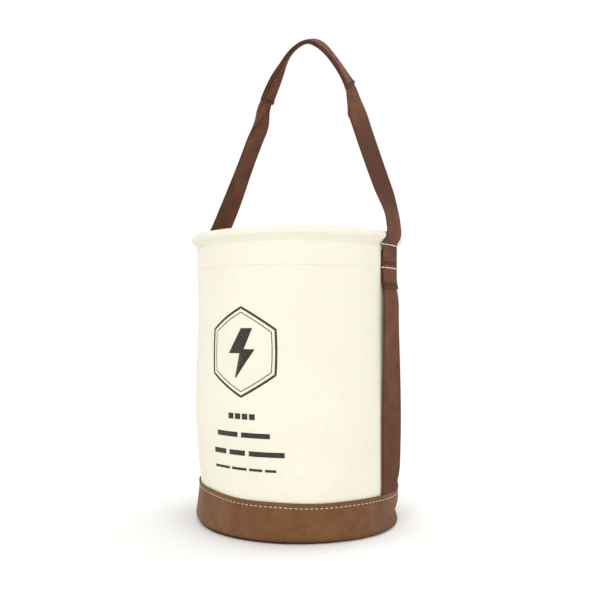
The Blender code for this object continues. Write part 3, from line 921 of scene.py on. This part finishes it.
def grip_roll(share):
    """How far the grip leans at a share of its length from the right, in radians."""
    shares, leans = smooth_curve(GRIP_LEAN, 0.5).T
    return np.radians(np.interp(share, shares, leans))


def handle_line(leg, half):
    """A handle web's line from its foot on the wall, up its leg and along half of the grip."""
    side = 1 if leg[0][0] > 0 else -1
    lower = smooth_curve([*((side * x, z) for x, z in TAB_LINE), *leg])
    join = leg[-2][1]
    return resampled(np.vstack([lower[lower[:, 1] <= join], half[half[:, 1] > join]]), 2.5)


def handle_webs():
    """Each hand's web, from its foot on the wall to the grip's top, where it is folded in half."""
    whole = grip_line()
    top = np.argmax(whole[:, 1])
    hands = (
        ("right", RIGHT_LEG, whole[:top + 1], RIGHT_WEB_TURN),
        ("left", LEFT_LEG, whole[top:][::-1], 0),
    )
    for hand, leg, half, turn in hands:
        line = handle_line(leg, half)
        height = line[:, 1]
        reached = lengths_along(line)
        folded = np.argmax(height > FOLD_HEIGHT)
        into_grip = (reached - reached[folded]) / (reached[-1] - reached[folded])
        share = 0.5 * np.clip(into_grip, 0, 1)
        into = ease(height, FOLD_HEIGHT - 60, FOLD_HEIGHT)
        grip = grip_roll(share if hand == "right" else 1 - share)
        roll = leg_roll(hand, height) * (1 - into) + grip * into
        hug = TAB_HUG * (1 - ease(height, 415, 450))
        section, columns = web_section(ease(height, *FOLD_SPANS[hand]), hug)
        grid = turned(swept(line, section, roll), turn * (1 - ease(height, 430, 560)))
        if hand == "left":
            grid, columns = grid[:, ::-1], columns[:, ::-1]
        cut = np.argmax(height > SPLIT_HEIGHT)
        made = sheet_piece(f"{hand}_handle_web", grid, WEB, webbing, None, columns=columns,
                           keep=(0, cut))
        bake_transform(made)
        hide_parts(f"{hand}_handle_tab")
        made = sheet_piece(f"{hand}_folded_web", grid, WEB, webbing, None, columns=columns,
                           keep=(cut, len(line) - 1))
        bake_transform(made)
        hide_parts(f"{hand}_handle_leg", "grip_core")


def grip_stations(start, end, step=3.0):
    """(points, across, out) along the grip between two shares of its length from the right."""
    whole = grip_line()
    first, last = (
        np.argmin(np.hypot(whole[:, 0] - leg[-1][0], whole[:, 1] - FOLD_HEIGHT))
        for leg in (RIGHT_LEG, LEFT_LEG)
    )
    line = resampled(whole[first:last + 1], 1.0)
    reached = lengths_along(line)
    share = reached / reached[-1]
    wanted = np.linspace(start, end, max(2, round((end - start) * reached[-1] / step)) + 1)
    x, z = (np.interp(wanted, share, column) for column in line.T)
    run_x, run_z = (np.interp(wanted, share, np.gradient(column)) for column in line.T)
    across, out = leaned(np.stack([run_x, 0 * x, run_z], axis=1), grip_roll(wanted))
    return np.stack([x, 0 * x, z], axis=1), across, out


def wrap_slant(points, across, start):
    """How far points of the wrap move along the grip, as its right end was sewn on at a slant.

    points are the grip's stations, across is each point's place across it, and start is the share
    of the grip's length that the first station is at.
    """
    run = np.gradient(points, axis=0)
    run /= np.linalg.norm(run, axis=1, keepdims=True)
    share = start + lengths_along(points) / GRIP_LENGTH
    slant = np.outer(1 - ease(share, 0, 0.2), across) * 0.55
    return slant[..., None] * run[:, None]


def grip_wrap():
    """The second web, folded round the grip with its fold at the back and its edges at the front."""
    points, across, out = grip_stations(0, 1)
    half = GRIP_WIDTH / 2
    turns = np.linspace(math.pi / 2, -math.pi / 2, 9)[1:-1]
    flat = np.linspace(-half, half - GRIP_HALF, 12)
    a = np.concatenate([flat, half - GRIP_HALF + GRIP_HALF * np.cos(turns), flat[::-1]])
    b = np.concatenate([0 * flat + GRIP_HALF, GRIP_HALF * np.sin(turns), 0 * flat - GRIP_HALF])
    pinched = b * (1 - 0.25 * hill(a, -half, 5))
    grid = points[:, None] + a[:, None] * across[:, None] + pinched[:, None] * out[:, None]
    grid = grid + wrap_slant(points, a, 0)
    place = lengths_along(np.stack([a, b], axis=1))
    width = place[-1]
    columns = np.tile(place * WEB_WIDTH / width, (len(points), 1))
    made = sheet_piece("grip_wrap_web", grid[::-1], TAPE, webbing, "grip", columns=columns)
    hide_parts("grip_wrap")


def grip_stitches():
    """The row along the grip's free edges, and the rows across its two ends."""
    points, across, out = grip_stations(0.02, 0.98, 5.0)
    half = GRIP_WIDTH / 2
    lift = GRIP_HALF + TAPE / 2
    places = []
    for i in range(1, len(points) - 1):
        along = points[i + 1] - points[i - 1]
        for way in (out[i], -out[i]):
            places.append((points[i] - across[i] * (half - 3) + way * (lift - 0.4), along, way))
    stitch_piece("grip_edge_stitches", places, 4.3, 0.9, dark_thread, "grip_edge_stitch", "grip")
    for hand, start, end in (("right", 0.01, 0.02), ("left", 0.98, 0.99)):
        points, across, out = grip_stations(start, end, 0.5)
        places = []
        shifts = np.arange(-half + 3, half - 1, 3.4)
        slants = wrap_slant(points, shifts, start)
        for shift, slant in zip(shifts, np.moveaxis(slants, 1, 0)):
            for i in (0, -1):
                spot = points[i] + across[i] * shift + slant[i]
                along = across[i] + slant[i] / shift
                places += [(spot + way * lift, along, way) for way in (out[i], -out[i])]
        tack = f"grip_{hand}_tack"
        stitch_piece(f"{tack}_stitches", places, 3.3, 1.5, dark_thread, tack, "grip")


def web_tacks():
    """The dark rows that hold each handle web to the side web."""
    radii, heights = zip(*TAB_LINE)
    for hand, web_angle in WEB_ANGLES.items():
        for level, rows in (("upper", (-1.6, 1.4)), ("lower", (-1.2, 1.6))):
            places = []
            for row in rows:
                height = middle(f"{hand}_{level}_tack") + row
                tab = np.interp(height, heights, radii) + WEB / 2
                for across in np.arange(-WEB_WIDTH / 2 + 4, WEB_WIDTH / 2 - 3, 4.2):
                    angle = web_angle + across / tab
                    radius = tab + (1 - TAB_HUG) * across**2 / (2 * WALL_OUTER)
                    along = outward(angle + math.pi / 2)
                    places.append((polar(radius, angle, height), along, outward(angle)))
            tack = f"{hand}_{level}_tack"
            stitch_piece(f"{tack}_stitches", places, 3.7, 1.5, dark_thread, tack, sink=0.1)


# The print

def printed(name, strips):
    """One piece of ink on the wall from strips, each a grid of (across, height) about the badge."""
    points, faces, uv = [], [], []
    for strip in strips:
        rows, columns = strip.shape[:2]
        angle = math.radians(PRINT_ANGLE) + strip[..., 0] / WALL_OUTER
        height = PRINT_HEIGHT + strip[..., 1]
        surface = WALL_OUTER + wall_bulge(angle, height)
        near, far = (polar(surface + lift, angle, height).reshape(-1, 3) for lift in (0.05, 0.2))
        base = sum(len(block) for block in points)
        points += [far, near]
        top, spots = grid_faces(rows, columns, False, base)
        low, low_spots = grid_faces(rows, columns, False, base + rows * columns, flip=True)
        faces += top + low
        loop = [(0, j) for j in range(columns)] + [(i, columns - 1) for i in range(1, rows)]
        loop += [(rows - 1, j) for j in reversed(range(columns - 1))]
        loop += [(i, 0) for i in reversed(range(rows - 1))]
        for one, two in zip(loop, loop[1:]):
            a, b = (i * columns + j + base for i, j in (one, two))
            faces.append([b, a, a + rows * columns, b + rows * columns])
            low_spots += [two, one, one, two]
        flat = np.stack([angle * WALL, height], axis=-1)
        uv += [flat[i, j] for i, j in spots + low_spots]
    mesh_piece(name, np.vstack(points), faces, uv, ink, "bucket")


def outline(line, width):
    """A strip of one width round a closed line of (across, height) points."""
    line = np.vstack([line, line[:1]])
    run = np.vstack([line[1] - line[-2], line[2:] - line[:-2], line[1] - line[-2]])
    run = run / np.linalg.norm(run, axis=1, keepdims=True)
    side = np.stack([-run[:, 1], run[:, 0]], axis=1) * width / 2
    return np.stack([line + side, line - side], axis=1)


def patch(corners):
    """A filled four-sided patch: its corners are low left, low right, high right, high left."""
    a, b, c, d = np.array(corners, float)
    rows, columns = (max(2, round(np.linalg.norm(side) / 3)) for side in (d - a, b - a))
    u = np.linspace(0, 1, columns + 1)[None, :, None]
    v = np.linspace(0, 1, rows + 1)[:, None, None]
    return (1 - v) * ((1 - u) * a + u * b) + v * ((1 - u) * d + u * c)


def badge():
    """A plain hexagon with a bolt in it, over rows of plain bars where a maker would print words."""
    def hexagon(reach):
        turns = np.linspace(0, TAU, 121)[:-1]
        away = turns % (math.pi / 3) - math.pi / 6
        radius = reach / np.cos(away * 0.93)
        return np.stack([radius * np.sin(turns) * 0.97, radius * np.cos(turns)], axis=1)

    strips = [outline(hexagon(54.5), 3.2), outline(hexagon(48.5), 1.2)]
    strips.append(patch([(-21, -2), (2, -2), (18, 33), (0, 33)]))
    strips.append(patch([(-10, -36), (-8.2, -36), (22, 4), (-1, 4)]))
    printed("badge_print", strips)

    rows = (  # each row's height, its bars' height, its shift, their lengths and the gap between them
        (-89, 8, 0, (9, 9, 9, 9), 2.6),
        (-114.5, 7, 0, (38, 44), 6.0),
        (-139.5, 7, 7, (24, 27, 52), 6.0),
        (-161.5, 3.5, 2, (29, 25, 20, 16), 4.0),
    )
    strips = []
    for height, tall, shift, words, gap in rows:
        left = shift - (sum(words) + gap * (len(words) - 1)) / 2
        for word in words:
            low, high, right = height - tall / 2, height + tall / 2, left + word
            strips.append(patch([(left, low), (right, low), (right, high), (left, high)]))
            left = right + gap
    printed("bar_print", strips)


# The studio

def studio():
    """A pale floor, white light all round and large soft lights, most of them from the front."""
    bpy.ops.mesh.primitive_circle_add(vertices=96, radius=6, fill_type="NGON", location=(0, 0, 0))
    floor = bpy.context.object
    floor.name = "studio_floor"
    floor.data.materials.append(floor_material())
    world = bpy.data.worlds.new("white_surround")
    world.use_nodes = True
    colour, strength = world.node_tree.nodes["Background"].inputs[:2]
    colour.default_value = (1, 1, 1, 1)
    strength.default_value = 1.0
    bpy.context.scene.world = world
    lights = (  # where each is in metres, how wide it is, and its power in watts
        ("key", (0.4, -1.75, 1.9), 1.1, 7.5),
        ("low", (0.3, -1.7, 0.15), 0.9, 4),
        ("fill", (1.7, -0.6, 1.2), 1.2, 2.5),
        ("back", (0.3, 1.1, 2.3), 1.2, 9),
    )
    aim_height = 0.35
    for name, place, size, power in lights:
        data = bpy.data.lights.new(name, "AREA")
        data.shape, data.size, data.energy = "DISK", size, power
        made = bpy.data.objects.new(name, data)
        made.location = place
        aim = -made.location.copy()
        aim.z += aim_height
        made.rotation_euler = aim.to_track_quat("-Z", "Y").to_euler()
        bpy.context.scene.collection.objects.link(made)
    bpy.context.scene.view_settings.view_transform = "Standard"


def camera():
    data = bpy.data.cameras.new("photo_view")
    data.sensor_width, data.lens = 36.0, 44.4
    data.shift_x, data.shift_y = 0.0047, 0.034
    data.clip_start, data.clip_end = 0.01, 50
    made = bpy.data.objects.new("photo_view", data)
    made.location = (0.6167, -0.9755, 0.304)
    made.rotation_euler = (math.pi / 2, 0, math.atan2(0.5344, 0.8453))
    bpy.context.scene.collection.objects.link(made)
    bpy.context.scene.camera = made


def hidden_parts():
    """The hoop, its plug and the board keep their CAD shapes."""
    plastic, board = plastic_material(), board_material()
    for node, material in (("rim_hoop", plastic), ("hoop_plug", plastic), ("floor_board", board)):
        materials = frame["nodes"][node].data.materials
        materials.clear()
        materials.append(material)


camera()
studio()
hidden_parts()
canvas_wall()
wall_stitches()
seam_stitches()
leather_band()
band_joint()
base_and_floor()
base_stitches()
floor_binding()
side_webs()
handle_webs()
grip_wrap()
grip_stitches()
web_tacks()
badge()
